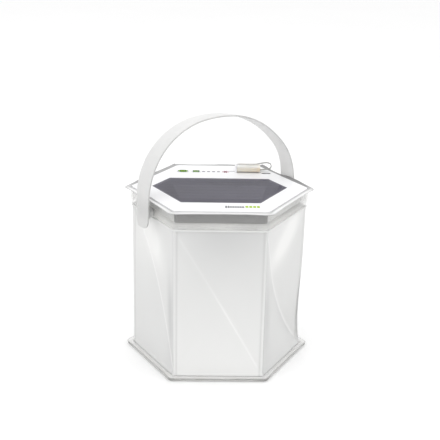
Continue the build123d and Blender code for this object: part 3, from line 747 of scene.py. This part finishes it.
def build_strap():
    rings, edge_shades, tones_and_painted_light = [], [], []
    for x, y, nx, ny in strap_line():
        half = half_width(y) if y < 20 and abs(x) > 60 else STRAP_WIDTH / 2
        high = min(1.0, max(0.0, (y - 8) / 30))
        crown = falloff(x, 45)
        half *= 1 + high * (0.12 * crown + (1 - crown) * (0.10 if x < 0 else -0.10)) + (0 if x < 0 else -0.04)
        centre = axis_u * x + arch_up * y
        normal = axis_u * nx + arch_up * ny
        ring = []
        for outer in (1, -1):
            for place in STRAP_PLACES if outer > 0 else reversed(STRAP_PLACES):
                edge = 1.0 - 0.55 * max(0.0, (abs(place) - 0.94) / 0.06) ** 2
                side = arch_side * (half * place)
                rib = 0.08 * math.cos(place * 4 * math.pi) if abs(place) < 0.9 else 0.0
                thick = normal * (outer * (STRAP_THICKNESS / 2 * edge) + (rib if outer > 0 else 0.0))
                # Painted shade along the strap's edges, and painted light towards the crown and on the right
                # leg.
                edge_shades.append(1.0 if abs(place) > 0.98 else 0.0)
                tones_and_painted_light.append(min(1.0, max(0.0, y / 85) ** 2 + (0.45 if x > 20 else 0.0)))
                ring.append((pivot + (centre + side + thick) * MM)[:])
        rings.append(np.array(ring))
    band, _ = capped_tube("strap", rings, handle_film, 50, clockwise=False)
    attribute(band, "edge", edge_shades)
    attribute(band, "tone_and_painted_light", tones_and_painted_light)
    return band


def cylinder_piece(name, radius, start, end, material, segments=40, bevel=0.4):
    """A bevelled cylinder about the handle's axis, between two distances from the lantern's centre, in mm."""
    vertices, faces = [], []
    side = 1 if end > 0 else -1
    a, b = sorted((abs(start), abs(end)))
    profile = ((radius - bevel, a), (radius, a + bevel), (radius, b - bevel), (radius - bevel, b))
    up = Vector((0, 0, 1))
    for r, along in profile:
        for k in range(segments):
            turn_angle = 2 * math.pi * k / segments
            offset = axis_v * (r * math.cos(turn_angle)) + up * (r * math.sin(turn_angle))
            vertices.append((pivot + (axis_u * (side * along) + offset) * MM)[:])
    for i in range(3):
        for k in range(segments):
            n = (k + 1) % segments
            face = (i * segments + k, i * segments + n, (i + 1) * segments + n, (i + 1) * segments + k)
            faces.append(face if side > 0 else tuple(reversed(face)))
    first = tuple(range(segments))
    last = tuple(range(3 * segments, 4 * segments))
    faces.append(tuple(reversed(first)) if side > 0 else first)
    faces.append(last if side > 0 else tuple(reversed(last)))
    return add_mesh(name, vertices, faces, material, sharp=40)


strap = build_strap()
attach(strap, "handle")
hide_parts("handle_strap")
for way, label in ((1, "right"), (-1, "left")):
    reach = STRAP_HALF_SPAN - (1.8 if way > 0 else 0.1)
    boss = cylinder_piece("end_boss_" + label, BOSS_RADIUS, way * BOSS_START, way * reach, handle_film)
    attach(boss, "handle")

# ---------------------------------------------------------------- the cap and its clear pull loop

cap_low, cap_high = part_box("port_cap")
shell_low, shell_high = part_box("usb_plug_shell")


def build_cap():
    """A moulded sleeve: rounded section, slightly waisted in the middle, open at its left end."""
    length = cap_high.x - cap_low.x
    centre_y = (cap_low.y + cap_high.y) / 2
    centre_z = (cap_low.z + cap_high.z) / 2
    half_y, half_z = (cap_high.y - cap_low.y) / 2, (cap_high.z - cap_low.z) / 2

    def section(shrink_y, shrink_z, power=3.6, steps=64):
        ring = []
        for k in range(steps):
            angle = 2 * math.pi * k / steps
            c, s = math.cos(angle), math.sin(angle)
            y = math.copysign(abs(c) ** (2 / power), c) * shrink_y
            z = math.copysign(abs(s) ** (2 / power), s) * shrink_z
            ring.append((y, z))
        return ring

    rings = []
    bore_y, bore_z = (shell_high.y - shell_low.y) / 2 + 0.3 * MM, (shell_high.z - shell_low.z) / 2 + 0.3 * MM
    bore_depth = shell_high.x - shell_low.x + 0.5 * MM
    places = [(0.0, -0.5), (0.02, -0.15), (0.06, 0.0), (0.2, 0.0), (0.35, 0.0), (0.5, 0.0), (0.65, 0.0),
              (0.8, 0.0), (0.92, 0.0), (0.965, -0.25), (0.99, -0.8), (1.0, -1.6)]
    for share, grow in places:
        waist = 0.45 * MM * math.sin(math.pi * share) ** 1.5
        ring = section(half_y - waist * 0.4 + grow * 0.5 * MM, half_z + grow * 0.5 * MM)
        x = cap_low.x + share * length
        placed = [(x, centre_y + y, centre_z + z - (waist if z > 0 else 0) * (z / half_z)) for y, z in ring]
        rings.append(np.array(placed))
    bore = []
    for share in (0.0, 1.0):
        ring = section(bore_y, bore_z, 12.0)
        bore.append(np.array([(cap_low.x + share * bore_depth, centre_y + y, centre_z + z) for y, z in ring]))
    sleeve, vertices = capped_tube("cap_sleeve", [bore[1], bore[0]] + rings, cap_rubber, 45)
    # Painted light: lighter on the top and towards the open end, a little darker near the closed end.
    tone_and_painted_light = []
    for x, y, z in vertices:
        height = (z - cap_low.z) / (cap_high.z - cap_low.z)
        along = (x - cap_low.x) / length
        top = min(1.0, max(0.0, (height - 0.60) / 0.35))
        side = 0.48 + 0.2 * (1 - along) - 0.15 * max(0.0, (along - 0.8) / 0.2)
        tone_and_painted_light.append(min(1.0, side + (1 - side) * top))
    attribute(sleeve, "tone_and_painted_light", tone_and_painted_light)
    return sleeve


cap = build_cap()
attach(cap, "port_cap")
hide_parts("port_cap")

cap_y = (cap_low.y + cap_high.y) / 2
# the loop's centre line, in mm right of the cap's open end and above its top
LOOP_ROUTE = [(0.4, -0.6), (1.4, 0.6), (6.0, 0.9), (12.0, 0.55), (18.0, 0.8), (24.5, 1.5), (30.2, 2.3),
              (34.0, 1.2), (35.2, -1.6), (33.6, -4.0), (29.0, -5.0), (22.8, -5.6)]
LOOP_WIDTH, LOOP_THICK = 3.0, 0.9


def smooth_route(points, per_span=10):
    """A smooth curve through points, by Catmull-Rom spans."""
    result = []
    padded = [points[0]] + points + [points[-1]]
    for k in range(1, len(padded) - 2):
        p0, p1, p2, p3 = (np.array(padded[k + d], float) for d in (-1, 0, 1, 2))
        for step in range(per_span):
            u = step / per_span
            result.append(0.5 * (2 * p1 + (p2 - p0) * u + (2 * p0 - 5 * p1 + 4 * p2 - p3) * u ** 2
                                 + (3 * p1 - p0 - 3 * p2 + p3) * u ** 3))
    result.append(np.array(points[-1], float))
    return result


def build_loop():
    route = smooth_route(LOOP_ROUTE)
    rings = []
    for i, place in enumerate(route):
        ahead, behind = route[min(i + 1, len(route) - 1)], route[max(i - 1, 0)]
        tangent = (ahead - behind) / np.linalg.norm(ahead - behind)
        normal = np.array([-tangent[1], tangent[0]])
        ring = []
        for k in range(16):
            angle = 2 * math.pi * k / 16
            across = math.copysign(abs(math.cos(angle)) ** 0.6, math.cos(angle)) * LOOP_WIDTH / 2
            thick = math.copysign(abs(math.sin(angle)) ** 0.6, math.sin(angle)) * LOOP_THICK / 2
            x = cap_low.x + (place[0] + normal[0] * thick) * MM
            z = cap_high.z + (place[1] + normal[1] * thick) * MM
            ring.append((x, cap_y + across * MM, z))
        rings.append(np.array(ring))
    piece, vertices = capped_tube("pull_loop", rings, loop_clear, 60)
    # Painted highlight along the loop's top, fading out over the last 4 mm before the cap's right end.
    tone_and_painted_light = []
    for x, _, z in vertices:
        tone_and_painted_light.append(min(1.0, max(0.0, (cap_high.x - x) / (4 * MM))) if z > cap_high.z - 1 * MM else 0.0)
    attribute(piece, "tone_and_painted_light", tone_and_painted_light)
    return piece


pull_loop = build_loop()
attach(pull_loop, "port_cap")
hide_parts("cap_loop")

# ---------------------------------------------------------------- printed marks and a painted recess shade: thin inlays

INLAY_HALF = 0.05 * MM


def flat_shape(name, outlines, z, material, body):
    """Thin closed prisms, one for each outline of (x, y) points in metres."""
    vertices, faces = [], []
    for outline in outlines:
        start, count = len(vertices), len(outline)
        vertices += [(x, y, z - INLAY_HALF) for x, y in outline] + [(x, y, z + INLAY_HALF) for x, y in outline]
        faces.append(tuple(start + k for k in reversed(range(count))))
        faces.append(tuple(start + count + k for k in range(count)))
        for k in range(count):
            n = (k + 1) % count
            faces.append((start + k, start + n, start + count + n, start + count + k))
    piece = add_mesh(name, vertices, faces, material, smooth=False)
    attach(piece, body)
    return piece


def box_outline(x, y, width, height):
    return [(x - width / 2, y - height / 2), (x + width / 2, y - height / 2),
            (x + width / 2, y + height / 2), (x - width / 2, y + height / 2)]


def arc_band(x, y, radius, width, start, end, steps=20):
    angles = [math.radians(start + (end - start) * k / steps) for k in range(steps + 1)]
    outer, inner = radius + width / 2, radius - width / 2
    there = [(x + outer * math.cos(a), y + outer * math.sin(a)) for a in angles]
    return there + [(x + inner * math.cos(a), y + inner * math.sin(a)) for a in reversed(angles)]


def ring_quads(x, y, radius, width, steps=28):
    """A full ring as short quads."""
    quads = []
    for k in range(steps):
        a, b = 360 * k / steps, 360 * (k + 1) / steps
        quads.append(arc_band(x, y, radius, width, a, b, 1))
    return quads


power_low, power_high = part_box("power_button")
battery_low, battery_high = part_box("battery_button")
power_x = (power_low.x + power_high.x) / 2
battery_x = (battery_low.x + battery_high.x) / 2
power_top, battery_top = power_high.z, battery_high.z

patch_angles = [2 * math.pi * k / 40 for k in range(40)]
patch = [(power_x + 5.3 * MM * math.cos(a), STRIP_Y + 3.9 * MM * math.sin(a)) for a in patch_angles]
flat_shape("power_patch", [patch], power_top, print_green, "power_button")
marks = [arc_band(power_x, STRIP_Y, 1.7 * MM, 0.8 * MM, 125, 415)]
marks.append(box_outline(power_x, STRIP_Y + 1.9 * MM, 0.8 * MM, 2.0 * MM))
for way in (-1, 1):
    middle = 0 if way > 0 else 180
    marks.append(arc_band(power_x, STRIP_Y, 3.7 * MM, 0.8 * MM, middle - 30, middle + 30))
flat_shape("power_mark", marks, power_top + INLAY_HALF, print_lime, "power_button")
battery_marks = [box_outline(battery_x - 0.3 * MM, STRIP_Y, 6.6 * MM, 5.8 * MM),
                 box_outline(battery_x + 3.4 * MM, STRIP_Y, 0.8 * MM, 2.2 * MM)]
flat_shape("battery_mark", battery_marks, battery_top, print_green, "battery_button")
battery_bars = [box_outline(battery_x + dx * MM, STRIP_Y, 0.9 * MM, 2.2 * MM) for dx in (-2.1, -0.5, 1.1)]
flat_shape("battery_bars", battery_bars, battery_top + INLAY_HALF, print_lime, "battery_button")

LAMP_R, LAMP_PITCH = 1.25, 5.08  # mm
led_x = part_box("battery_leds")[0].x + LAMP_R * MM
rings = []
for k in range(4):
    rings += ring_quads(led_x + LAMP_PITCH * MM * k, STRIP_Y, 1.45 * MM, 0.5 * MM)
flat_shape("lamp_rings", rings, PLATE_TOP, print_grey, "top")

sun_low, sun_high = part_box("charge_indicator")
sun_x = (sun_low.x + sun_high.x) / 2
rays = []
for k in range(8):
    angle = math.radians(45 * k + 22.5)
    c, s = math.cos(angle), math.sin(angle)
    near, far, half = 2.2 * MM, 3.7 * MM, 0.42 * MM
    rays.append([(sun_x + near * c + half * s, STRIP_Y + near * s - half * c),
                 (sun_x + far * c + half * s, STRIP_Y + far * s - half * c),
                 (sun_x + far * c - half * s, STRIP_Y + far * s + half * c),
                 (sun_x + near * c - half * s, STRIP_Y + near * s + half * c)])
flat_shape("sun_rays", rays, PLATE_TOP, print_rose, "top")

zigzag = []
wave_points = [(10.2, 53.4), (11.4, 52.8), (12.6, 54.0), (13.8, 52.6), (15.0, 54.0), (16.2, 52.8),
               (17.6, 53.6)]
for (x0, y0), (x1, y1) in zip(wave_points, wave_points[1:]):
    run_x, run_y = x1 - x0, y1 - y0
    size = math.hypot(run_x, run_y)
    nx, ny = -run_y / size * 0.4, run_x / size * 0.4
    zigzag.append([((x0 + nx) * MM, (y0 + ny) * MM), ((x0 - nx) * MM, (y0 - ny) * MM),
                   ((x1 - nx) * MM, (y1 - ny) * MM), ((x1 + nx) * MM, (y1 + ny) * MM)])
flat_shape("charge_wave", zigzag, PLATE_TOP, print_grey, "top")

TICK_Y = -62.2
dark_ticks = [box_outline((4.6 + 2.2 * k) * MM, TICK_Y * MM, 1.3 * MM, (5.8 if k in (0, 1) else 4.6) * MM)
              for k in range(8)]
flat_shape("scale_ticks_dark", dark_ticks, PLATE_TOP, dark_print_and_shade, "top")
lime_ticks = [box_outline((23.6 + 3.5 * k) * MM, (TICK_Y + 0.9) * MM, 2.6 * MM, 5.0 * MM) for k in range(4)]
flat_shape("scale_ticks_lime", lime_ticks, PLATE_TOP, print_lime, "top")

# A dark sheet on the plate's top: painted shade of a slot in the plate.
RECESS_X, RECESS_Y, RECESS_HALF, RECESS_R = 48.2, 47.8, 3.3, 1.3  # mm
slot_outline = []
for way, first in ((1, -90), (-1, 90)):
    for k in range(25):
        angle = math.radians(first + 180 * k / 24)
        slot_outline.append(((RECESS_X + way * RECESS_HALF + RECESS_R * math.cos(angle)) * MM,
                             (RECESS_Y + RECESS_R * math.sin(angle)) * MM))
flat_shape("recess_shade", [slot_outline], PLATE_TOP - 0.03 * MM, dark_print_and_shade, "top")

# ---------------------------------------------------------------- floor and light

FLOOR_HALF, FLOOR_Z = 30, -0.0004
floor_corners = [(x * FLOOR_HALF, y * FLOOR_HALF, FLOOR_Z) for x, y in ((-1, -1), (1, -1), (1, 1), (-1, 1))]
floor = add_mesh("floor", floor_corners, [(0, 1, 2, 3)], floor_paint, smooth=False)

world = bpy.data.worlds.new("studio")
bpy.context.scene.world = world
world.use_nodes = True
background = world.node_tree.nodes["Background"]
background.inputs["Color"].default_value = (1.0, 1.0, 1.0, 1.0)
background.inputs["Strength"].default_value = 1.0


def area_light(name, place, aim, size, power):
    data = bpy.data.lights.new(name, "AREA")
    data.shape = "RECTANGLE"
    data.size, data.size_y = size
    data.energy = power
    lamp = bpy.data.objects.new(name, data)
    bpy.context.scene.collection.objects.link(lamp)
    lamp.location = place
    lamp.rotation_euler = (Vector(aim) - Vector(place)).to_track_quat("-Z", "Y").to_euler()


area_light("key", (-1.1, -0.9, 1.6), (0, 0, 0.1), (1.4, 1.0), 6.0)
area_light("fill", (1.5, -0.6, 1.0), (0, 0, 0.1), (1.0, 1.2), 2.6)
area_light("overhead", (0.2, 0.6, 2.0), (0, 0, 0.1), (1.8, 1.4), 5.0)

glow_data = bpy.data.lights.new("led_glow", "AREA")
glow_data.shape = "DISK"
glow_data.size = 0.05
glow_data.energy = 0.05
glow_data.color = (1.0, 0.98, 0.95)
glow = bpy.data.objects.new("led_glow", glow_data)
bpy.context.scene.collection.objects.link(glow)
glow.location = (0, 0, TRAY_BOTTOM + 0.3 * MM)
glow.parent = bead  # so that the lamp stays under the top unit when it comes down
